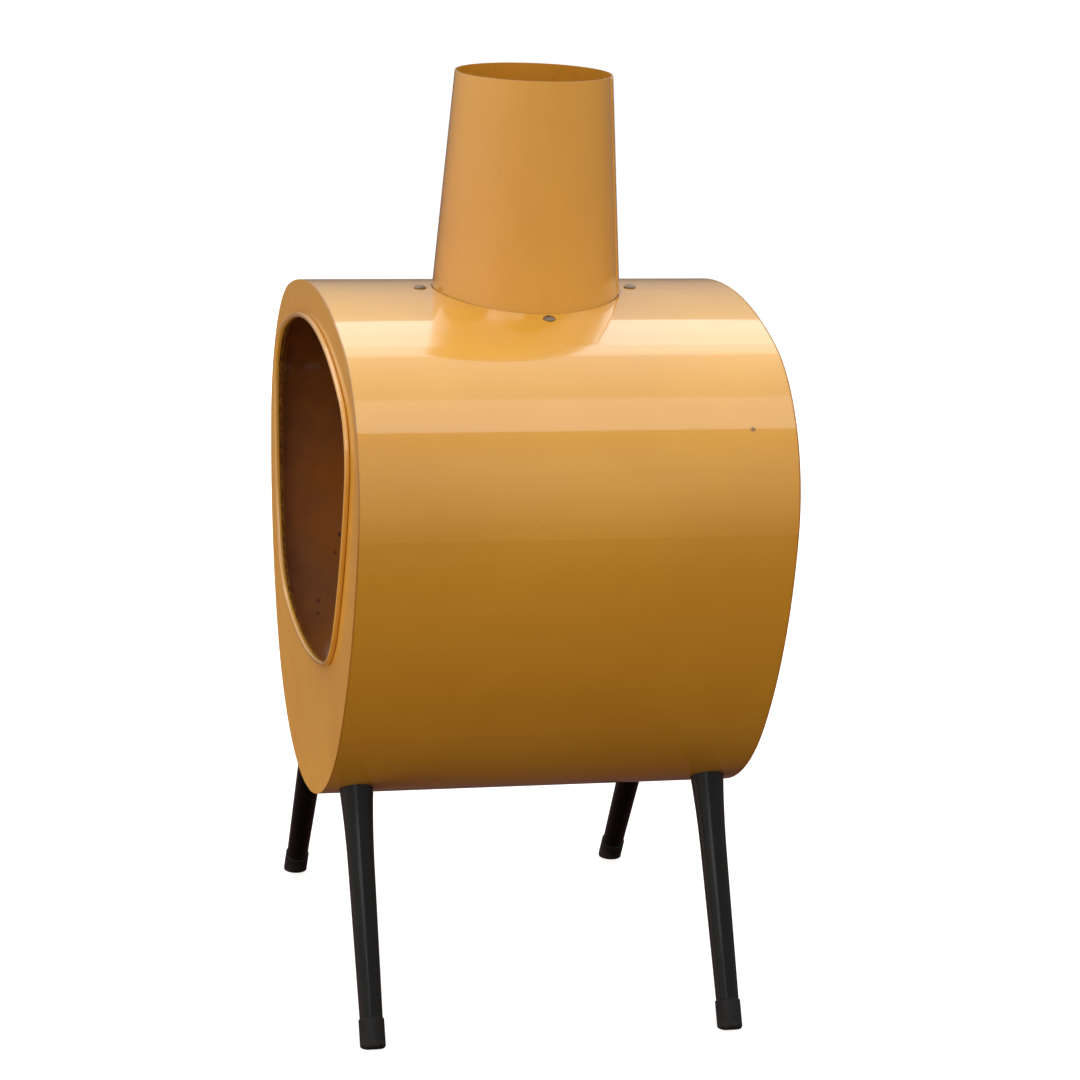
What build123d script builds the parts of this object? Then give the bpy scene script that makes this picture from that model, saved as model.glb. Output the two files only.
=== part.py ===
"""Barrel chiminea: a sheet-steel drum on four splayed legs, with a conical chimney.

Millimetres, +Z up. The origin is on the floor, midway between the four feet. The drum's axis runs
along Y, and the mouth faces -Y.
"""

from build123d import *
from math import cos, radians, sin
import os

os.makedirs("parts", exist_ok=True)

# Driving dimensions
overall_height = 900
crown_height = 688.5
drum_length = 418
sheet = 1.5

# The drum's outline is a chain of tangent arcs from the crown to the keel, mirrored left to right.
# Each arc has a radius and the direction of its normal where it ends, in degrees from straight up.
crown_radius = 536
drum_arcs = [(crown_radius, 17.5), (156, 94), (440, 123.5)]

# The mouth's outline is built in the same way. It sits high in the plate, above a deep lower lip.
mouth_drop = 36.5
mouth_arcs = [(428, 24.5), (67, 95.5), (434, 116.5), (92.5, 165.5)]

# Edge trim round the mouth: a rounded bead in front of the plate, a web through it and a lip behind
trim_width = 5.2
trim_proud = 5
trim_front_radius = 2.5
trim_outer_radius = 1.6
trim_inner_radius = 1.2
trim_web_setback = 1.4
trim_web = 1.2
trim_back_lip = 1.5
trim_joint_left_height = 553
trim_joint_right_height = 467
clip_thickness = 0.4
clip_width = 1.6

# End plates
flange_depth = 12

# Chimney
chimney_top_radius = 76.5
chimney_crown_radius = 92
chimney_tail = 30
chimney_hole_radius = 93.2
flange_radius = 120
flange_thickness = 2
screw_circle_radius = 105.5

# M6 screws
screw_radius = 3
screw_hole_radius = 3.2
screw_head_radius = 6
screw_head_height = 3.2
screw_rim_height = 0.8
screw_slot_width = 1.3
screw_slot_depth = 1.4
screw_length = 14
washer_radius = 6.2
washer_thickness = 1.2
nut_across_flats = 10
nut_thickness = 5

# Legs, each square to the wall of the drum
leg_splay = 30
leg_spacing = 354
leg_top_radius = 17
leg_neck_radius = 13
leg_neck_distance = 76
leg_foot_radius = 11
leg_wall = 1.5
saddle_depth = 4
plug_radius = 13
plug_start = 3
plug_length = 11
plate_length = 34
plate_width = 44
plate_thickness = 2.5

# M8 leg bolts
bolt_radius = 4
bolt_hole_radius = 4.25
bolt_across_flats = 13
bolt_head_height = 5.3
bolt_reach = 12

# Rubber foot caps
cap_radius = 12.4
cap_length = 27
cap_overrun = 3
cap_edge_radius = 5
cap_lip_radius = 1
cap_floor = 11

# Fire grate
grate_bar_radius = 4
grate_half_width = 130
grate_bar_spacing = 35
grate_bars = 9
grate_clearance = 0.05

# How far the cutters for holes and clips reach past what they cut
cutter_reach = 6

# Gap that lets a flat washer or bolt head seat inside a curved wall without cutting into it
seat_gap = 0.13


def closing_arc(arcs):
    """The last arc of an outline, whose radius brings it back to the centre line."""
    reached = 0
    last_normal = 0
    for radius, normal in arcs:
        reached += radius * (sin(radians(normal)) - sin(radians(last_normal)))
        last_normal = normal
    return (reached / sin(radians(last_normal)), 180)


def drop(arcs):
    """How far an outline falls from its top to its bottom."""
    fallen = 0
    last_normal = 0
    for radius, normal in arcs:
        fallen += radius * (cos(radians(last_normal)) - cos(radians(normal)))
        last_normal = normal
    return fallen


drum_outline = drum_arcs + [closing_arc(drum_arcs)]
mouth_outline = mouth_arcs + [closing_arc(mouth_arcs)]
mouth_top = crown_height - mouth_drop
keel_height = crown_height - drop(drum_outline)
keel_radius = drum_outline[-1][0]
keel_centre = keel_height + keel_radius
end_y = drum_length / 2
trim_front_y = end_y + trim_proud
plate_hole_growth = trim_web_setback + trim_web


def outline_face(top, arcs, inset=0):
    """Upright face of an outline, moved inwards all round by inset."""
    with BuildSketch(mode=Mode.PRIVATE) as face:
        with BuildLine():
            point = (0, top - inset)
            heading = (1, 0)
            last_normal = 0
            for radius, normal in arcs:
                arc = JernArc(point, heading, radius - inset, last_normal - normal)
                point = arc @ 1
                heading = arc % 1
                last_normal = normal
            mirror(about=Plane.YZ)
        make_face()
    return face.sketch


def front(distance):
    """Sketch plane across the drum, at that distance in front of the drum's middle."""
    return Plane.XZ.offset(distance)


def band(top, arcs, insets, distances):
    """Hollow band between two parallel outlines, from one distance in front of the middle to another."""
    with BuildSketch(front(distances[0])) as section:
        add(outline_face(top, arcs, insets[0]))
        add(outline_face(top, arcs, insets[1]), mode=Mode.SUBTRACT)
    extrude(section.sketch, amount=distances[1] - distances[0])


def save(part, name):
    part.label = name
    export_step(part, f"parts/{name}.step")


# Planes square to the drum's wall. Local +Z points outwards, and the origin is on the outer face.
def crown_plane(x, y):
    """Plane on the crown at a place given from above."""
    crown_centre = crown_height - crown_radius
    lean = Vector(x, 0, (crown_radius**2 - x**2) ** 0.5)
    return Plane(origin=Vector(0, y, crown_centre) + lean, x_dir=(0, 1, 0), z_dir=lean)


screw_planes = [
    crown_plane(screw_circle_radius, 0),
    crown_plane(0, screw_circle_radius),
    crown_plane(-screw_circle_radius, 0),
    crown_plane(0, -screw_circle_radius),
]


def leg_plane(side, end):
    """Plane on the keel arc where a leg stands. side is +1 at +X, end is +1 at the back."""
    outward = Vector(side * sin(radians(leg_splay)), 0, -cos(radians(leg_splay)))
    foot_y = end * leg_spacing / 2
    return Plane(origin=Vector(0, foot_y, keel_centre) + outward * keel_radius, x_dir=(0, 1, 0), z_dir=outward)


leg_planes = {
    "front_left": leg_plane(-1, -1),
    "front_right": leg_plane(1, -1),
    "back_left": leg_plane(-1, 1),
    "back_right": leg_plane(1, 1),
}
leg_reach = keel_centre / cos(radians(leg_splay)) - keel_radius


# Drum shell: the rolled wrap, between the two end plates
shell_end = end_y - sheet
with BuildPart() as drum_shell:
    band(crown_height, drum_outline, (0, sheet), (-shell_end, shell_end))
    with BuildSketch(Plane.XY.offset(keel_centre)):
        Circle(chimney_hole_radius)
    extrude(amount=crown_height, mode=Mode.SUBTRACT)
    with Locations(*screw_planes):
        Cylinder(screw_hole_radius, cutter_reach, mode=Mode.SUBTRACT)
    with Locations(*leg_planes.values()):
        Cylinder(bolt_hole_radius, cutter_reach, mode=Mode.SUBTRACT)
save(drum_shell.part, "drum_shell")


# Front plate: covers the end of the shell, with a flange turned in behind it and the mouth cut out
with BuildPart() as front_plate:
    with BuildSketch(front(shell_end)):
        add(outline_face(crown_height, drum_outline))
        add(outline_face(mouth_top, mouth_outline, -plate_hole_growth), mode=Mode.SUBTRACT)
    extrude(amount=sheet)
    band(crown_height, drum_outline, (sheet, 2 * sheet), (shell_end - flange_depth, shell_end))
save(front_plate.part, "front_plate")


# Back plate: the same, without a mouth
with BuildPart() as back_plate:
    with BuildSketch(front(-end_y)):
        add(outline_face(crown_height, drum_outline))
    extrude(amount=sheet)
    band(crown_height, drum_outline, (sheet, 2 * sheet), (-shell_end, flange_depth - shell_end))
save(back_plate.part, "back_plate")


# Mouth trim: a channel pressed over the cut edge of the mouth, in two lengths that butt together
def mouth_half_width(height):
    """Half the width of the mouth at a height."""
    level = Edge.make_line((0, height), (drum_length, height))
    chord = outline_face(mouth_top, mouth_outline).face() & level
    return chord.edge().length


def trim_bead(growth):
    """The front of the trim, grown outwards and forwards from its real size, with its front rounded."""
    with BuildPart(mode=Mode.PRIVATE) as bead:
        band(mouth_top, mouth_outline, (-trim_width - growth, growth), (end_y, trim_front_y + growth))
        fillet(bead.faces().sort_by(Axis.Y)[0].edges(), trim_front_radius + growth)
    return bead.part


with BuildPart(mode=Mode.PRIVATE) as whole_bead:
    add(trim_bead(0))
    fillet(whole_bead.faces().sort_by(Axis.Y)[-1].outer_wire().edges(), trim_outer_radius)
    fillet(whole_bead.faces().sort_by(Axis.Y)[-1].inner_wires()[0].edges(), trim_inner_radius)
trim_joints = [
    Vector(-mouth_half_width(trim_joint_left_height), 0, trim_joint_left_height),
    Vector(mouth_half_width(trim_joint_right_height), 0, trim_joint_right_height),
]
trim_split = Plane(
    origin=trim_joints[0],
    x_dir=trim_joints[1] - trim_joints[0],
    z_dir=(trim_joints[1] - trim_joints[0]).cross(Vector(0, 1, 0)),
)
trim_back = shell_end - trim_back_lip
for name, kept_side in [("mouth_trim_upper", Keep.TOP), ("mouth_trim_lower", Keep.BOTTOM)]:
    with BuildPart() as mouth_trim:
        add(whole_bead.part)
        band(mouth_top, mouth_outline, (-plate_hole_growth, -trim_web_setback), (trim_back, end_y))
        band(mouth_top, mouth_outline, (-trim_width, -trim_web_setback), (trim_back, shell_end))
        split(bisect_by=trim_split, keep=kept_side)
    save(mouth_trim.part, name)


# Trim joint clips: a thin strap over each butt joint of the trim
with BuildPart(mode=Mode.PRIVATE) as clip_bounds:
    with Locations(*trim_joints):
        Box(2 * (trim_width + cutter_reach), 2 * (trim_front_y + cutter_reach), clip_width)
with BuildPart() as trim_joint_clips:
    add(trim_bead(clip_thickness))
    add(whole_bead.part, mode=Mode.SUBTRACT)
    add(clip_bounds.part, mode=Mode.INTERSECT)
save(trim_joint_clips.part, "trim_joint_clips")


# Chimney: a cone of rolled sheet whose tail passes down through the crown
chimney_slope = (chimney_crown_radius - chimney_top_radius) / (overall_height - crown_height)
chimney_tail_height = crown_height - chimney_tail
chimney_tail_radius = chimney_crown_radius + chimney_slope * chimney_tail
with BuildPart(mode=Mode.PRIVATE) as chimney_blank:
    with BuildSketch(Plane.XY.offset(chimney_tail_height)):
        Circle(chimney_tail_radius)
    with BuildSketch(Plane.XY.offset(overall_height)):
        Circle(chimney_top_radius)
    loft()
with BuildPart() as chimney_tube:
    add(chimney_blank.part)
    with BuildSketch(Plane.XY.offset(chimney_tail_height)):
        Circle(chimney_tail_radius - sheet)
    with BuildSketch(Plane.XY.offset(overall_height)):
        Circle(chimney_top_radius - sheet)
    loft(mode=Mode.SUBTRACT)
save(chimney_tube.part, "chimney_tube")


# Chimney flange: a saddle ring under the crown, welded round the tail of the tube
with BuildPart() as chimney_flange:
    flange_insets = (sheet, sheet + flange_thickness)
    band(crown_height, drum_outline, flange_insets, (-flange_radius, flange_radius))
    with BuildSketch(Plane.XY.offset(chimney_tail_height)):
        Circle(flange_radius)
    extrude(amount=chimney_tail, mode=Mode.INTERSECT)
    add(chimney_blank.part, mode=Mode.SUBTRACT)
    with Locations(*screw_planes):
        Cylinder(screw_hole_radius, 2 * (cutter_reach + flange_thickness), mode=Mode.SUBTRACT)
save(chimney_flange.part, "chimney_flange")


# Chimney screws: slotted dome heads on the outside of the crown
with BuildPart(mode=Mode.PRIVATE) as screw:
    with BuildSketch(Plane.XZ):
        with BuildLine():
            underside = Polyline((0, 0), (screw_head_radius, 0), (screw_head_radius, screw_rim_height))
            dome = TangentArc((0, screw_head_height), underside @ 1, tangent=(1, 0))
            Line(dome @ 0, underside @ 0)
        make_face()
    revolve(axis=Axis.Z)
    with BuildSketch(Plane.XY.offset(screw_head_height)):
        Rectangle(2 * screw_head_radius, screw_slot_width)
    extrude(amount=-screw_slot_depth, mode=Mode.SUBTRACT)
    with BuildSketch():
        Circle(screw_radius)
    extrude(amount=-screw_length)
with BuildPart() as chimney_screws:
    with Locations(*screw_planes):
        add(screw.part)
save(chimney_screws.part, "chimney_screws")


# Washers and nuts under the flange
washer_top = -(sheet + flange_thickness + seat_gap)
nut_top = washer_top - washer_thickness
with BuildPart(mode=Mode.PRIVATE) as washer:
    with BuildSketch(Plane.XY.offset(washer_top)):
        Circle(washer_radius)
        Circle(screw_hole_radius, mode=Mode.SUBTRACT)
    extrude(amount=-washer_thickness)
with BuildPart() as chimney_washers:
    with Locations(*screw_planes):
        add(washer.part)
save(chimney_washers.part, "chimney_washers")

with BuildPart(mode=Mode.PRIVATE) as nut:
    with BuildSketch(Plane.XY.offset(nut_top)):
        RegularPolygon(nut_across_flats / 2, 6, major_radius=False)
        Circle(screw_radius, mode=Mode.SUBTRACT)
    extrude(amount=-nut_thickness)
with BuildPart() as chimney_nuts:
    with Locations(*screw_planes):
        add(nut.part)
save(chimney_nuts.part, "chimney_nuts")


# Legs: tapered tubes that flare at the top, where they are cut to the curve of the drum
with BuildPart(mode=Mode.PRIVATE) as drum_body:
    with BuildSketch(front(-end_y)):
        add(outline_face(crown_height, drum_outline))
    extrude(amount=drum_length)

leg_end = leg_reach - cap_floor
with BuildPart(mode=Mode.PRIVATE) as leg_blank:
    with BuildSketch(Plane.XZ):
        with BuildLine():
            neck = (leg_neck_radius, leg_neck_distance)
            shank = Line((leg_foot_radius, leg_end), neck)
            flare = TangentArc(neck, (leg_top_radius, -saddle_depth), tangent=shank % 1)
            Polyline(flare @ 1, (0, -saddle_depth), (0, leg_end), shank @ 0)
        make_face()
    revolve(axis=Axis.Z)

with BuildPart(mode=Mode.PRIVATE) as leg_bore:
    with BuildSketch(Plane.XZ):
        with BuildLine():
            Polyline(
                (0, -saddle_depth),
                (plug_radius, -saddle_depth),
                (plug_radius, plug_start + plug_length),
                (leg_neck_radius - leg_wall, leg_neck_distance),
                (leg_foot_radius - leg_wall, leg_end),
                (0, leg_end),
                close=True,
            )
        make_face()
    revolve(axis=Axis.Z)

# Threaded plug welded into the top of a leg
with BuildPart(mode=Mode.PRIVATE) as plug_blank:
    with BuildSketch(Plane.XY.offset(plug_start)):
        Circle(plug_radius)
        Circle(bolt_radius, mode=Mode.SUBTRACT)
    extrude(amount=plug_length)

# Rubber cap pushed over the foot of a leg, before the floor cuts it flat
with BuildPart(mode=Mode.PRIVATE) as cap_blank:
    with BuildSketch(Plane.XY.offset(leg_reach - cap_length)):
        Circle(cap_radius)
    extrude(amount=cap_length + cap_overrun)
    fillet(cap_blank.edges().sort_by(Axis.Z)[-1], cap_edge_radius)
    fillet(cap_blank.edges().sort_by(Axis.Z)[0], cap_lip_radius)
    add(leg_blank.part, mode=Mode.SUBTRACT)

for corner, plane in leg_planes.items():
    with BuildPart() as leg:
        with Locations(plane):
            add(leg_blank.part)
            add(leg_bore.part, mode=Mode.SUBTRACT)
        add(drum_body.part, mode=Mode.SUBTRACT)
    save(leg.part, f"leg_{corner}")

    with BuildPart() as leg_plug:
        with Locations(plane):
            add(plug_blank.part)
    save(leg_plug.part, f"leg_plug_{corner}")

    # Curved plate inside the drum that spreads the load of the leg bolt
    with BuildPart() as leg_plate:
        reach = (-plane.origin.Y - plate_length / 2, -plane.origin.Y + plate_length / 2)
        band(crown_height, drum_outline, (sheet, sheet + plate_thickness), reach)
        with Locations(plane):
            Box(2 * plate_length, plate_width, plate_length, mode=Mode.INTERSECT)
            Cylinder(bolt_hole_radius, plate_length, mode=Mode.SUBTRACT)
    save(leg_plate.part, f"leg_plate_{corner}")

    with BuildPart() as foot_cap:
        with Locations(plane):
            add(cap_blank.part)
        split(bisect_by=Plane.XY, keep=Keep.TOP)
    save(foot_cap.part, f"foot_cap_{corner}")


# Leg bolts: hexagon heads inside the drum, screwed out into the plugs
bolt_seat = -(sheet + plate_thickness + seat_gap)
with BuildPart(mode=Mode.PRIVATE) as bolt:
    with BuildSketch(Plane.XY.offset(bolt_seat)):
        RegularPolygon(bolt_across_flats / 2, 6, major_radius=False)
    extrude(amount=-bolt_head_height)
    with BuildSketch(Plane.XY.offset(bolt_seat)):
        Circle(bolt_radius)
    extrude(amount=bolt_reach - bolt_seat)
with BuildPart() as leg_bolts:
    with Locations(*leg_planes.values()):
        add(bolt.part)
save(leg_bolts.part, "leg_bolts")


# Fire grate: round bars welded between two rails that lie on the curved floor of the drum
rail_distance = keel_radius - sheet - grate_bar_radius - grate_clearance
grate_height = keel_centre - (rail_distance**2 - grate_half_width**2) ** 0.5
with BuildPart() as fire_grate:
    with BuildSketch(Plane.YZ):
        with Locations((0, grate_height)):
            with GridLocations(grate_bar_spacing, 0, grate_bars, 1):
                Circle(grate_bar_radius)
    extrude(amount=grate_half_width, both=True)
    with BuildSketch(Plane.XZ):
        with Locations((-grate_half_width, grate_height), (grate_half_width, grate_height)):
            Circle(grate_bar_radius)
    extrude(amount=grate_bar_spacing * grate_bars / 2, both=True)
save(fire_grate.part, "fire_grate")
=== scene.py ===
import math

import bpy
from mathutils import Matrix, Vector


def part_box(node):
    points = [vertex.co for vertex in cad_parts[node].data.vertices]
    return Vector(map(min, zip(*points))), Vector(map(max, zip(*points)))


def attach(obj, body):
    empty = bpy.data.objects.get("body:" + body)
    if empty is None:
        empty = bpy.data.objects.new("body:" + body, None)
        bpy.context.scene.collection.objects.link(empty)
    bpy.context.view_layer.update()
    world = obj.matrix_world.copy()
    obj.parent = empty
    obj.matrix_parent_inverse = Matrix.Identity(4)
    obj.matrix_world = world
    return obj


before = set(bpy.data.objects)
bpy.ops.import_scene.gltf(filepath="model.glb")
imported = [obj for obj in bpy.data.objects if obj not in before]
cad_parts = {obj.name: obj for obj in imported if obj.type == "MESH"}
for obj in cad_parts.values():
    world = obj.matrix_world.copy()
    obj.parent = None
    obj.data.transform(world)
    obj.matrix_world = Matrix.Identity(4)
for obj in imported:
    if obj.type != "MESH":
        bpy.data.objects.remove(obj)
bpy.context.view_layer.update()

# The camera stands at the photograph's angle round the object, with its small lean to one side.
CAMERA_AZIMUTH = 76.598
CAMERA_ELEVATION = 14.692
CAMERA_ROLL = 2.299
CAMERA_DISTANCE = 3.3234
CAMERA_TARGET = Vector((0, 0.0248, 0.4316))
CAMERA_LENS = 110.37
CAMERA_SENSOR = 36

STAGE_COLOUR = (0.50, 0.50, 0.50, 1)
STAGE_SHADE = (0.49, 0.49, 0.485, 1)
STAGE_GLOW = 0.76
FLOOR_HALF_WIDTH = 40


# ---------------------------------------------------------------- node helpers
class Shader:
    """A material's node tree, with short calls for the nodes used here."""

    def __init__(self, name, material=None):
        self.material = material or bpy.data.materials.new(name)
        self.material.use_nodes = True
        self.tree = self.material.node_tree
        self.nodes = self.tree.nodes
        self.principled = self.nodes["Principled BSDF"]
        self.position = self.nodes.new("ShaderNodeTexCoord").outputs["Object"]

    def link(self, source, target):
        self.tree.links.new(source, target)

    def feed(self, socket, value):
        if isinstance(value, bpy.types.NodeSocket):
            self.link(value, socket)
        else:
            socket.default_value = value

    def set(self, **values):
        """Uniform values and links for the shader's own sockets; underscores stand for spaces."""
        for key, value in values.items():
            self.feed(self.principled.inputs[key.replace("_", " ")], value)

    def texture(self, kind, scale, seed, stretch=(1, 1, 1)):
        """Texture node over the object, with scale in cycles to a metre. Each seed is another pattern."""
        mapping = self.nodes.new("ShaderNodeMapping")
        mapping.inputs["Scale"].default_value = stretch
        mapping.inputs["Location"].default_value = (seed, seed * 0.7, seed * 1.3)
        self.link(self.position, mapping.inputs["Vector"])
        node = self.nodes.new(kind)
        node.inputs["Scale"].default_value = scale
        self.link(mapping.outputs["Vector"], node.inputs["Vector"])
        return node

    def noise(self, scale, detail, roughness=0.5, stretch=(1, 1, 1), seed=0.0):
        node = self.texture("ShaderNodeTexNoise", scale, seed, stretch)
        node.inputs["Detail"].default_value = detail
        node.inputs["Roughness"].default_value = roughness
        return node.outputs["Fac"]

    def grains(self, scale, seed):
        """Distance from the nearest of many scattered grains."""
        return self.texture("ShaderNodeTexVoronoi", scale, seed).outputs["Distance"]

    def span(self, value, low, high, to_low=0.0, to_high=1.0):
        """A value from low to high stretched to the range from to_low to to_high, and held at its ends."""
        node = self.nodes.new("ShaderNodeMapRange")
        node.clamp = True
        self.feed(node.inputs["Value"], value)
        node.inputs["From Min"].default_value = low
        node.inputs["From Max"].default_value = high
        node.inputs["To Min"].default_value = to_low
        node.inputs["To Max"].default_value = to_high
        return node.outputs["Result"]

    def math(self, operation, a, b):
        node = self.nodes.new("ShaderNodeMath")
        node.operation = operation
        self.feed(node.inputs[0], a)
        self.feed(node.inputs[1], b)
        return node.outputs[0]

    def mix(self, factor, a, b):
        node = self.nodes.new("ShaderNodeMix")
        node.data_type = "RGBA"
        self.feed(node.inputs["Factor"], factor)
        self.feed(node.inputs["A"], a)
        self.feed(node.inputs["B"], b)
        return node.outputs["Result"]

    def axes(self):
        node = self.nodes.new("ShaderNodeSeparateXYZ")
        self.link(self.position, node.inputs["Vector"])
        return node.outputs

    def bump(self, height, distance, strength, under=None):
        """Normal of a relief of this depth in metres, over the normal under it."""
        node = self.nodes.new("ShaderNodeBump")
        node.inputs["Strength"].default_value = strength
        node.inputs["Distance"].default_value = distance
        self.link(height, node.inputs["Height"])
        if under is not None:
            self.link(under, node.inputs["Normal"])
        return node.outputs["Normal"]

    def vector(self, operation, a, b, result="Vector"):
        node = self.nodes.new("ShaderNodeVectorMath")
        node.operation = operation
        self.feed(node.inputs[0], a)
        self.feed(node.inputs[1], b)
        return node.outputs[result]

    def rounded(self, radius):
        """Normal of a surface whose sharp edges are rounded to this radius."""
        node = self.nodes.new("ShaderNodeBevel")
        node.samples = 4
        node.inputs["Radius"].default_value = radius
        return node.outputs["Normal"]

    def face_normal(self):
        return self.nodes.new("ShaderNodeNewGeometry").outputs["Normal"]

    def edges(self, rounded, low, high):
        """1 along sharp edges and 0 on the faces between them."""
        agreement = self.vector("DOT_PRODUCT", rounded, self.face_normal(), "Value")
        return self.span(self.math("SUBTRACT", 1.0, agreement), low, high)

    def facing(self, centre, keep):
        """1 where the surface faces a centre, 0 where it faces away. keep has 0 for an axis to leave out."""
        outward = self.vector("MULTIPLY", self.vector("SUBTRACT", self.position, centre), keep)
        away = self.vector("DOT_PRODUCT", outward, self.face_normal(), "Value")
        return self.span(away, -0.001, 0.001, 1.0, 0.0)

    def spot(self, centre, radius):
        """A ragged dark spot of this radius about a place on the object."""
        reach = self.vector("DISTANCE", self.position, centre, "Value")
        wander = self.span(self.noise(scale=900, detail=2), 0.3, 0.7, -0.5 * radius, 0.5 * radius)
        return self.span(self.math("ADD", reach, wander), 0.6 * radius, radius, 1.0, 0.0)


# ---------------------------------------------------------------- the paint
PAINT = (0.80, 0.392, 0.034, 1)
PAINT_DEEP = (0.74, 0.345, 0.028, 1)
# Lighter paint along edges: wear, and also a painted highlight along them
PAINT_WORN_AND_HIGHLIGHT = (0.86, 0.53, 0.14, 1)
# Painted shade for the faces inside the drum
PAINT_INNER_SHADE = (0.40, 0.070, 0.008, 1)
TRIM_PAINT = (0.84, 0.42, 0.07, 1)
# Painted shade on the trim behind the plate
TRIM_PAINTED_SHADE = (0.10, 0.030, 0.006, 1)
# Painted shade, darkest at the top of the drum's inside
INNER_SHADE_DARKEST = (0.040, 0.018, 0.009, 1)
CHIP = (0.030, 0.020, 0.014, 1)
EDGE_ROUNDING = 0.0004
ROUGHNESS_DRIFT = 0.07
FLECK_DARKNESS = 0.8
CHIP_DARKNESS = 0.75

# The painted shade inside the drum darkens towards the top between these heights
INNER_SHADE_LOW = 0.42
INNER_SHADE_HIGH = 0.66

# Depths in metres of the orange peel, the dust caught in the paint and the waves of the sheet
PEEL_DEPTH = 0.00004
DUST_DEPTH = 0.00006
WAVE_DEPTH = 0.002


def sprayed_colour(shader, colours, streak):
    """Enamel drifting between two colours, with mottling and the faint streaks left by the spray."""
    drift = shader.span(shader.noise(scale=5, detail=3), 0.35, 0.65)
    colour = shader.mix(drift, *colours)
    mottle = shader.noise(scale=38, detail=5, roughness=0.6, seed=3)
    colour = shader.mix(shader.span(mottle, 0.52, 0.75, 0, 0.18), colour, PAINT_DEEP)
    streaks = shader.noise(scale=26, detail=4, roughness=0.6, stretch=streak, seed=7)
    return shader.mix(shader.span(streaks, 0.42, 0.68, 0, 0.35), colour, PAINT_DEEP)


def painted_inner_shade(shader, inward_faces, inner_shade_strength, colour, rough):
    """Colour and roughness of enamel with painted shade on the faces inside the drum, darker towards the top.
    """
    colour = shader.mix(shader.math("MULTIPLY", inward_faces, inner_shade_strength), colour, PAINT_INNER_SHADE)
    rising = shader.span(shader.axes()["Z"], INNER_SHADE_LOW, INNER_SHADE_HIGH, 0.0, 0.55)
    upper_shade_pattern = shader.math("ADD", shader.noise(scale=9, detail=5, roughness=0.6, seed=8), rising)
    top_shade = shader.math("MULTIPLY", inward_faces, shader.span(upper_shade_pattern, 0.45, 1.0, 0.0, 1.3 * inner_shade_strength))
    colour = shader.mix(top_shade, colour, INNER_SHADE_DARKEST)
    rough = shader.math("ADD", rough, shader.math("MULTIPLY", inward_faces, 0.25 * inner_shade_strength))
    return colour, shader.math("ADD", rough, shader.math("MULTIPLY", top_shade, 0.40))


def enamel(
    name,
    inside=None,
    marks=(),
    wear_and_edge_highlight=0.18,
    colours=(PAINT_DEEP, PAINT),
    inner_shade_strength=0.65,
    gloss=1.0,
    rough=0.13,
    streak=(1, 0.06, 1),
):
    """Stoved gloss enamel on sheet steel. inside says which faces get painted shade, and the shade's strength
    argument how dark it is.

    streak is the stretch of the spray's streaks, which run along the drum unless it says otherwise.
    """
    shader = Shader(name)
    colour = sprayed_colour(shader, colours, streak)
    rounded = shader.rounded(EDGE_ROUNDING)
    # Lighter paint along sharp edges: wear and a painted edge highlight
    ragged = shader.span(shader.noise(scale=260, detail=3, seed=5), 0.40, 0.62)
    rim = shader.math("MULTIPLY", shader.edges(rounded, 0.02, 0.25), ragged)
    colour = shader.mix(shader.math("MULTIPLY", rim, wear_and_edge_highlight), colour, PAINT_WORN_AND_HIGHLIGHT)
    rough = shader.span(shader.noise(scale=30, detail=4), 0.3, 0.7, rough, rough + ROUGHNESS_DRIFT)
    # Painted shade on the faces inside the drum and chimney, darker towards the top
    if inside is not None:
        inward_faces = shader.facing(*inside)
        colour, rough = painted_inner_shade(shader, inward_faces, inner_shade_strength, colour, rough)
    grains = shader.grains(scale=160, seed=2)
    patches = shader.span(shader.noise(scale=14, detail=2, seed=9), 0.60, 0.66)
    flecks = shader.math("MULTIPLY", shader.span(grains, 0.05, 0.09, 1.0, 0.0), patches)
    colour = shader.mix(shader.math("MULTIPLY", flecks, FLECK_DARKNESS), colour, CHIP)
    for centre, radius, indoors in marks:
        chip = shader.math("MULTIPLY", shader.spot(centre, radius), CHIP_DARKNESS)
        if inside is not None:
            side = inward_faces if indoors else shader.math("SUBTRACT", 1.0, inward_faces)
            chip = shader.math("MULTIPLY", chip, side)
        colour = shader.mix(chip, colour, CHIP)
    peel = shader.bump(shader.noise(scale=420, detail=1.5), PEEL_DEPTH, 0.5, rounded)
    dust = shader.bump(shader.span(grains, 0.03, 0.12, 1.0, 0.0), DUST_DEPTH, 0.3, peel)
    wave = shader.bump(shader.noise(scale=7, detail=1, stretch=(1, 0.6, 1)), WAVE_DEPTH, 0.40, dust)
    shader.set(
        Base_Color=colour,
        Roughness=rough,
        Specular_IOR_Level=0.5,
        Coat_Weight=gloss,
        Coat_IOR=1.75,
        Coat_Roughness=0.04,
        Normal=wave,
    )
    return shader.material


def within(box, *parts):
    """The point at these parts of a box's width, depth and height."""
    low, high = box
    return tuple(a + (b - a) * part for a, b, part in zip(low, high, parts))


DRUM_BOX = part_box("drum_shell")
PLATE_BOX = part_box("front_plate")
PLATE_FRONT = PLATE_BOX[0][1]
DRUM_MIDDLE = within(DRUM_BOX, 0.5, 0.5, 0.5)

# The faces given painted shade on the shell look towards the drum's axis, those of the plates towards its
# middle, and those of the chimney towards the chimney's axis.
ROUND_DRUM = (DRUM_MIDDLE, (1, 0, 1))
ALONG_DRUM = (DRUM_MIDDLE, (0, 1, 0))
ROUND_CHIMNEY = ((0, 0, 0), (1, 1, 0))

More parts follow.
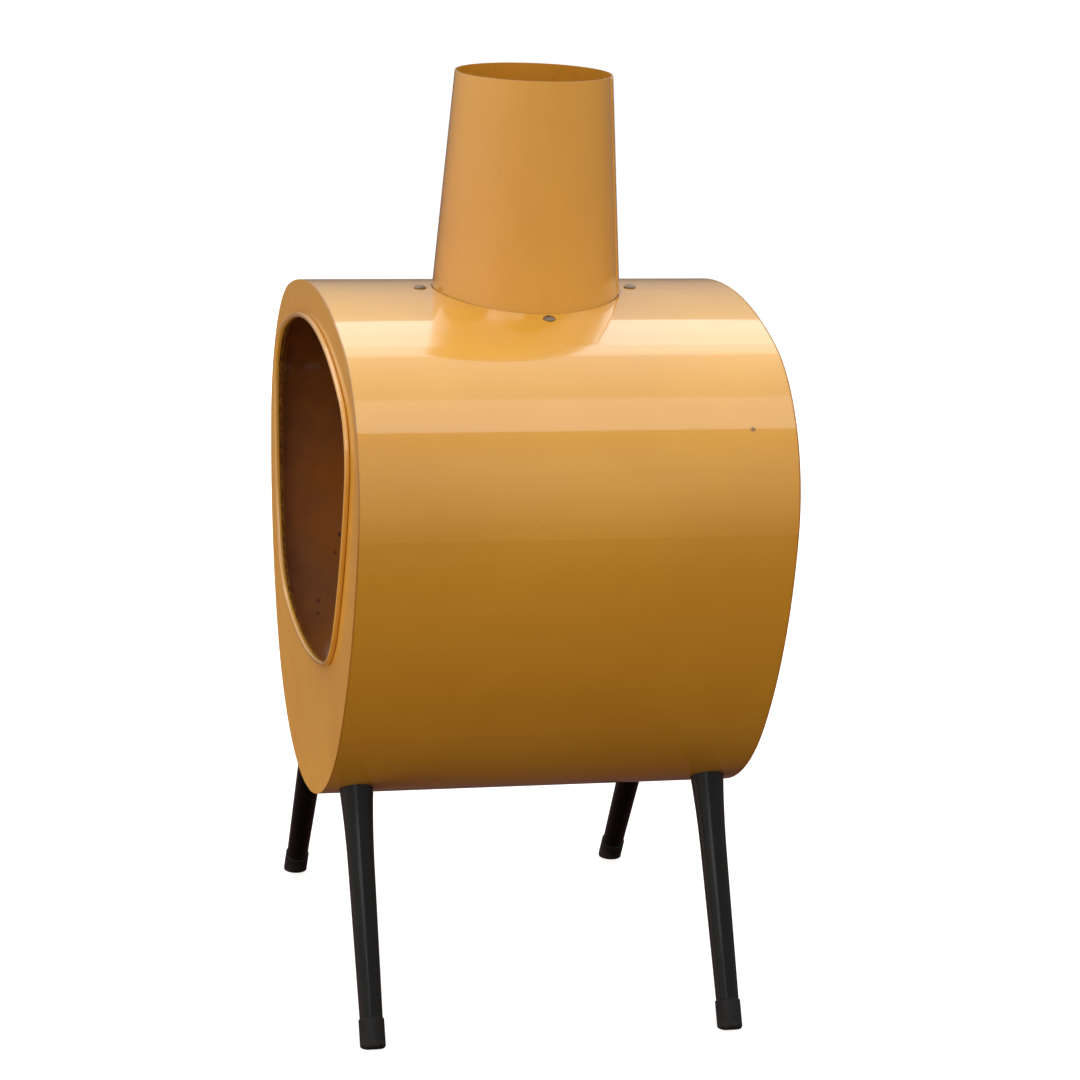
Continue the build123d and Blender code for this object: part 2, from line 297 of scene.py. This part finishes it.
# Chips in the enamel: place, radius, and whether it is on the inside
SHELL_MARKS = [
    (within(DRUM_BOX, 0.953, 0.900, 0.824), 0.0028, False),
    (within(DRUM_BOX, 0.054, 0.170, 0.381), 0.0032, True),
    (within(DRUM_BOX, 0.067, 0.155, 0.345), 0.0026, True),
    (within(DRUM_BOX, 0.110, 0.105, 0.253), 0.0030, True),
    (within(DRUM_BOX, 0.124, 0.102, 0.229), 0.0026, True),
]
PLATE_MARKS = [
    (within(PLATE_BOX, 0.596, 0, 0.943), 0.0016, False),
    (within(PLATE_BOX, 0.617, 0, 0.938), 0.0013, False),
]


# The trim's painted shade starts this far before the plate's front and is full this far behind it
TRIM_SHADE_STARTS = 0.0008
TRIM_SHADE_FULL = 0.0006


def trim_enamel():
    """The trim's brighter enamel, with painted shade where it passes through the plate into the drum."""
    material = enamel("trim_enamel", wear_and_edge_highlight=0.5, colours=(PAINT, TRIM_PAINT))
    shader = Shader("trim_enamel", material)
    socket = shader.principled.inputs["Base Color"]
    fresh = socket.links[0].from_socket
    depth = shader.axes()["Y"]
    behind = shader.span(depth, PLATE_FRONT - TRIM_SHADE_STARTS, PLATE_FRONT + TRIM_SHADE_FULL)
    ragged = shader.span(shader.noise(scale=150, detail=3, seed=12), 0.35, 0.65, 0.75, 1.0)
    # Painted shade on the trim's web and lip behind the plate
    shader.link(shader.mix(shader.math("MULTIPLY", behind, ragged), fresh, TRIM_PAINTED_SHADE), socket)
    return material


# ---------------------------------------------------------------- legs, caps, fasteners and grate
LEG_BLACK = (0.0025, 0.0025, 0.003, 1)
LEG_BLACK_WORN = (0.0045, 0.0045, 0.005, 1)
LEG_SCUFF = (0.020, 0.019, 0.018, 1)
DRIP_DEPTH = 0.0006
CAP_BLACK = (0.0035, 0.0035, 0.004, 1)
CAP_BLACK_WORN = (0.007, 0.007, 0.007, 1)
CAP_DUST = (0.05, 0.045, 0.04, 1)
CAP_DUST_HEIGHT = 0.012
CAP_GRAIN_DEPTH = 0.00005
BRONZED = (0.30, 0.22, 0.16, 1)
ZINC = (0.60, 0.60, 0.62, 1)
STEEL_STAIN = (0.10, 0.05, 0.03, 1)
STEEL_GRAIN_DEPTH = 0.00002
IRON_SCALE = (0.030, 0.027, 0.025, 1)
IRON_RUST = (0.110, 0.045, 0.020, 1)
IRON_SCALE_DEPTH = 0.0004


def black_enamel():
    """Gloss black enamel with drips and fine scratches along the leg."""
    shader = Shader("black_enamel")
    rounded = shader.rounded(EDGE_ROUNDING)
    colour = shader.mix(shader.noise(scale=40, detail=3), LEG_BLACK, LEG_BLACK_WORN)
    scratches = shader.noise(scale=120, detail=5, roughness=0.7, stretch=(3, 3, 0.5), seed=4)
    colour = shader.mix(shader.span(scratches, 0.62, 0.74, 0, 0.5), colour, LEG_SCUFF)
    drips = shader.noise(scale=30, detail=1, stretch=(1, 1, 0.12), seed=6)
    runs = shader.bump(drips, DRIP_DEPTH, 0.5, rounded)
    shader.set(
        Base_Color=colour,
        Roughness=shader.span(shader.noise(scale=60, detail=4), 0.3, 0.7, 0.14, 0.22),
        Specular_IOR_Level=0.32,
        Normal=shader.bump(shader.noise(scale=500, detail=1.5), PEEL_DEPTH, 0.5, runs),
    )
    return shader.material


def rubber():
    """Matt black moulded rubber, dusty towards the floor."""
    shader = Shader("cap_rubber")
    colour = shader.mix(shader.noise(scale=90, detail=4), CAP_BLACK, CAP_BLACK_WORN)
    low = shader.span(shader.axes()["Z"], 0.0, CAP_DUST_HEIGHT, 1.0, 0.0)
    patches = shader.span(shader.noise(scale=200, detail=4, seed=2), 0.4, 0.65, 0, 0.6)
    grain = shader.noise(scale=900, detail=2)
    shader.set(
        Base_Color=shader.mix(shader.math("MULTIPLY", low, patches), colour, CAP_DUST),
        Roughness=shader.span(shader.noise(scale=80, detail=4), 0.3, 0.7, 0.52, 0.68),
        Specular_IOR_Level=0.35,
        Normal=shader.bump(grain, CAP_GRAIN_DEPTH, 0.5, shader.rounded(EDGE_ROUNDING)),
    )
    return shader.material


def steel(name, tint, rough):
    """Plated steel with a fine grain and a little staining."""
    shader = Shader(name)
    dark = tuple(0.6 * channel for channel in tint[:3]) + (1,)
    colour = shader.mix(shader.noise(scale=300, detail=4), dark, tint)
    stains = shader.noise(scale=180, detail=5, roughness=0.65, seed=7)
    grain = shader.noise(scale=1500, detail=2)
    shader.set(
        Base_Color=shader.mix(shader.span(stains, 0.55, 0.70, 0, 0.3), colour, STEEL_STAIN),
        Metallic=1.0,
        Roughness=shader.span(shader.noise(scale=500, detail=4), 0.3, 0.7, rough, rough + 0.15),
        Normal=shader.bump(grain, STEEL_GRAIN_DEPTH, 0.5, shader.rounded(EDGE_ROUNDING)),
    )
    return shader.material


def forged_iron():
    """Bare bars, scaled and rusted by the fire."""
    shader = Shader("bare_iron")
    scale = shader.noise(scale=120, detail=6, roughness=0.65)
    rust = shader.span(shader.noise(scale=35, detail=5, roughness=0.6, seed=4), 0.45, 0.65)
    shader.set(
        Base_Color=shader.mix(rust, IRON_SCALE, IRON_RUST),
        Metallic=0.4,
        Roughness=shader.span(scale, 0.3, 0.7, 0.55, 0.85),
        Normal=shader.bump(scale, IRON_SCALE_DEPTH, 0.6),
    )
    return shader.material


MATERIALS = {
    "mustard_paint": enamel("mustard_enamel"),
    "trim_paint": trim_enamel(),
    "inner_paint": enamel("inner_enamel", wear_and_edge_highlight=0.1),
    "screw_steel": steel("bronzed_steel", BRONZED, 0.28),
    "zinc_steel": steel("zinc_plate", ZINC, 0.32),
    "grate_iron": forged_iron(),
    "black_enamel": black_enamel(),
    "foot_rubber": rubber(),
}
NODE_MATERIALS = {
    "drum_shell": enamel("drum_enamel", ROUND_DRUM, SHELL_MARKS),
    "front_plate": enamel("front_plate_enamel", ALONG_DRUM, PLATE_MARKS, gloss=0.5, rough=0.34),
    "back_plate": enamel("back_plate_enamel", ALONG_DRUM, gloss=0.35, rough=0.30),
    "chimney_tube": enamel("chimney_enamel", ROUND_CHIMNEY, inner_shade_strength=0.15, streak=(1, 1, 0.10)),
}
for name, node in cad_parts.items():
    for slot in node.material_slots:
        slot.material = NODE_MATERIALS.get(name, MATERIALS[slot.material.name])


# ---------------------------------------------------------------- the chimney's lap seam
# Round the chimney from +X, in degrees
SEAM_ANGLE = 67
SEAM_WIDTH = 0.011
SEAM_THICKNESS = 0.0012
SEAM_STEPS_UP = 60
# How far the strip's back sinks into the sheet, and how far it stops above the crown
SEAM_SINK = 0.0003
SEAM_CLEARANCE = 0.0006
# Section of the strip, in parts of its width and thickness
SEAM_PROFILE = ((-0.5, 0.0), (-0.47, 0.55), (-0.40, 0.95), (0.0, 1.0), (0.40, 0.95), (0.47, 0.55), (0.5, 0.0))
# Vertices this near to a height belong to the tube's rim there
RIM_BAND = 0.0005
CHIMNEY_LOW, CHIMNEY_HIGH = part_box("chimney_tube")
CROWN = DRUM_BOX[1][2]


def chimney_radii(tube):
    """Radius of the tube at its top and at its bottom, from its mesh."""
    def at(height):
        rim = [v.co for v in tube.data.vertices if abs(v.co.z - height) < RIM_BAND]
        return max(math.hypot(place.x, place.y) for place in rim)

    return at(CHIMNEY_HIGH[2]), at(CHIMNEY_LOW[2])


def chimney_seam():
    """The outer lap of the rolled sheet, a low strip with soft edges from the crown to the top."""
    top_radius, tail_radius = chimney_radii(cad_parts["chimney_tube"])
    rows = []
    points = []
    low = CROWN + SEAM_CLEARANCE
    for step in range(SEAM_STEPS_UP + 1):
        height = low + (CHIMNEY_HIGH[2] - low) * step / SEAM_STEPS_UP
        part = (height - CHIMNEY_LOW[2]) / (CHIMNEY_HIGH[2] - CHIMNEY_LOW[2])
        radius = tail_radius + (top_radius - tail_radius) * part
        row = []
        for across, lift in SEAM_PROFILE:
            angle = math.radians(SEAM_ANGLE) + across * SEAM_WIDTH / radius
            reach = radius - SEAM_SINK + lift * SEAM_THICKNESS
            row.append(len(points))
            points.append((reach * math.cos(angle), reach * math.sin(angle), height))
        rows.append(row)
    faces = []
    for a, b in zip(rows, rows[1:]):
        for i in range(len(a)):
            j = (i + 1) % len(a)
            faces.append((a[i], a[j], b[j], b[i]))
    faces.append(tuple(reversed(rows[0])))
    faces.append(tuple(rows[-1]))
    mesh = bpy.data.meshes.new("chimney_seam")
    mesh.from_pydata(points, [], faces)
    for polygon in mesh.polygons:
        polygon.use_smooth = True
    seam = bpy.data.objects.new("chimney_seam", mesh)
    bpy.context.scene.collection.objects.link(seam)
    mesh.materials.append(MATERIALS["mustard_paint"])
    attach(seam, "root")


chimney_seam()


# ---------------------------------------------------------------- stage, light and camera
def stage_floor():
    mesh = bpy.data.meshes.new("stage_floor")
    half = FLOOR_HALF_WIDTH
    corners = [(-half, -half, 0), (half, -half, 0), (half, half, 0), (-half, half, 0)]
    mesh.from_pydata(corners, [], [(0, 1, 2, 3)])
    floor = bpy.data.objects.new("stage_floor", mesh)
    bpy.context.scene.collection.objects.link(floor)
    shader = Shader("stage_paper")
    shader.set(
        Base_Color=shader.mix(shader.noise(scale=3, detail=4), STAGE_COLOUR, STAGE_SHADE),
        Roughness=0.9,
        Specular_IOR_Level=0.1,
        Emission_Color=(1, 1, 1, 1),
        Emission_Strength=STAGE_GLOW,
    )
    mesh.materials.append(shader.material)
    floor.visible_diffuse = False
    floor.visible_glossy = False
    floor.visible_shadow = False


def softbox(name, centre, size, strength, colour, target=None):
    """Flat soft light that looks at its target, or straight down. strength is its brightness."""
    data = bpy.data.lights.new(name, "AREA")
    data.shape = "RECTANGLE"
    data.size, data.size_y = size
    data.energy = strength * math.pi * size[0] * size[1]
    data.color = colour
    light = bpy.data.objects.new(name, data)
    light.location = centre
    aim = Vector(target if target else (centre[0], centre[1], 0)) - Vector(centre)
    light.rotation_euler = aim.to_track_quat("-Z", "Y").to_euler()
    bpy.context.scene.collection.objects.link(light)
    return light


# Brightness of the studio by height of the view, from straight down to straight up, as it is seen
# looking to the front (-Y), to the right (+X) and to the left (-X) of the object
SKY_HEIGHTS = (-1.0, -0.55, -0.15, 0.15, 0.5, 1.0)
SKY_FRONT = (0.05, 0.10, 0.75, 0.72, 0.90, 0.10)
SKY_RIGHT = (0.03, 0.06, 0.34, 0.39, 0.48, 0.30)
SKY_LEFT = (0.05, 0.08, 0.15, 0.38, 0.66, 0.50)
# Tint of that light by height of the view
SKY_TINTS = ((-1.0, (1, 0.34, 0.20)), (-0.55, (1, 0.45, 0.46)), (0.05, (1, 0.92, 0.85)), (0.5, (1, 1, 0.95)))
# The left and right levels blend over views this far to either side of straight ahead
SKY_BLEND = 0.4


def studio_world():
    world = bpy.data.worlds.new("studio")
    world.use_nodes = True
    tree = world.node_tree
    tree.nodes.clear()

    def calculate(operation, *values):
        node = tree.nodes.new("ShaderNodeMath")
        node.operation = operation
        for socket, value in zip(node.inputs, values):
            if isinstance(value, bpy.types.NodeSocket):
                tree.links.new(value, socket)
            else:
                socket.default_value = value
        return node.outputs[0]

    def by_height(height, stops):
        ramp = tree.nodes.new("ShaderNodeValToRGB")
        elements = ramp.color_ramp.elements
        while len(elements) < len(stops):
            elements.new(0.5)
        for element, (place, colour) in zip(elements, stops):
            element.position = (place + 1) / 2
            element.color = (*colour, 1)
        tree.links.new(height, ramp.inputs["Fac"])
        return ramp.outputs["Color"]

    def brightness(height, levels):
        return by_height(height, [(place, (level,) * 3) for place, level in zip(SKY_HEIGHTS, levels)])

    def blend(factor, a, b):
        rest = calculate("SUBTRACT", 1.0, factor)
        return calculate("ADD", calculate("MULTIPLY", rest, a), calculate("MULTIPLY", factor, b))

    split = tree.nodes.new("ShaderNodeSeparateXYZ")
    tree.links.new(tree.nodes.new("ShaderNodeTexCoord").outputs["Generated"], split.inputs["Vector"])
    height = calculate("MULTIPLY_ADD", split.outputs["Z"], 0.5, 0.5)
    forward = calculate("MAXIMUM", calculate("MULTIPLY", split.outputs["Y"], -1.0), 0.0)
    forward = calculate("MULTIPLY", forward, forward)
    side = tree.nodes.new("ShaderNodeMapRange")
    side.interpolation_type = "SMOOTHSTEP"
    side.inputs["From Min"].default_value = -SKY_BLEND
    side.inputs["From Max"].default_value = SKY_BLEND
    tree.links.new(split.outputs["X"], side.inputs["Value"])
    sides = blend(side.outputs["Result"], brightness(height, SKY_LEFT), brightness(height, SKY_RIGHT))
    level = blend(forward, sides, brightness(height, SKY_FRONT))

    out = tree.nodes.new("ShaderNodeOutputWorld")
    light = tree.nodes.new("ShaderNodeBackground")
    seen = tree.nodes.new("ShaderNodeBackground")
    seen.inputs["Color"].default_value = (1, 1, 1, 1)
    chosen = tree.nodes.new("ShaderNodeMixShader")
    tree.links.new(level, light.inputs["Strength"])
    tree.links.new(by_height(height, SKY_TINTS), light.inputs["Color"])
    tree.links.new(tree.nodes.new("ShaderNodeLightPath").outputs["Is Camera Ray"], chosen.inputs["Fac"])
    tree.links.new(light.outputs["Background"], chosen.inputs[1])
    tree.links.new(seen.outputs["Background"], chosen.inputs[2])
    tree.links.new(chosen.outputs["Shader"], out.inputs["Surface"])
    bpy.context.scene.world = world


def camera():
    azimuth = math.radians(CAMERA_AZIMUTH)
    elevation = math.radians(CAMERA_ELEVATION)
    roll = math.radians(CAMERA_ROLL)
    reach = math.cos(elevation)
    back = Vector((math.sin(azimuth) * reach, -math.cos(azimuth) * reach, math.sin(elevation)))
    level = (-back).cross(Vector((0, 0, 1))).normalized()
    upward = level.cross(-back)
    right = math.cos(roll) * level + math.sin(roll) * upward
    up = -math.sin(roll) * level + math.cos(roll) * upward
    data = bpy.data.cameras.new("camera")
    data.lens = CAMERA_LENS
    data.sensor_width = CAMERA_SENSOR
    data.clip_start = 0.05
    data.clip_end = 200
    cam = bpy.data.objects.new("camera", data)
    turn = Matrix((right, up, back)).transposed().to_4x4()
    cam.matrix_world = Matrix.Translation(CAMERA_TARGET + back * CAMERA_DISTANCE) @ turn
    bpy.context.scene.collection.objects.link(cam)
    bpy.context.scene.camera = cam


OVERHEAD_HEIGHT = 2.5
OVERHEAD_SETBACK = 0.3
OVERHEAD_DEPTH = 4.6
# Name, middle and width along X, brightness of the box and of a second one that only the gloss shows
OVERHEADS = [
    ("left", -1.7, 1.6, 1.30, 0.95),
    ("middle", -0.15, 1.5, 0.66, 1.30),
    ("right", 1.125, 1.05, 1.10, 1.50),
]
OVERHEAD_COLOUR = (0.97, 1, 1)
WHITE = (1, 1, 1)
# Fills that only the paint's colour shows: name, place, size, brightness, colour and target.
# The floor bounce stands below the floor, which casts no shadow.
FILLS = [
    ("floor_bounce", (-0.5, -1.35, -0.6), (2.2, 1.2), 2.0, (1, 0.95, 0.86), (0, -0.2, 0.45)),
    ("side_fill", (2.8, -0.3, 2.0), (2.5, 2.5), 1.55, (1, 0.92, 0.94), (0, 0, 0.5)),
    ("left_fill", (-3.0, 0, 1.6), (2.5, 2.5), 3.4, (1, 0.98, 0.93), (0, 0, 0.6)),
]
LEG_SHEEN = ("leg_sheen", (1.9, -1.3, 2.1), (1.8, 1.0), 1.9, WHITE, (0.2, -0.2, 0.1))


def studio_lights():
    for side, middle, width, brightness, gloss in OVERHEADS:
        place = (middle, OVERHEAD_SETBACK, OVERHEAD_HEIGHT)
        size = (width, OVERHEAD_DEPTH)
        softbox(f"overhead_{side}", place, size, brightness, OVERHEAD_COLOUR)
        softbox(f"overhead_{side}_sheen", place, size, gloss, WHITE).visible_diffuse = False
    for fill in FILLS:
        softbox(*fill).visible_glossy = False
    softbox(*LEG_SHEEN).visible_diffuse = False


stage_floor()
studio_world()
studio_lights()
camera()
bpy.context.scene.view_settings.view_transform = "Standard"
bpy.context.scene.view_settings.look = "None"
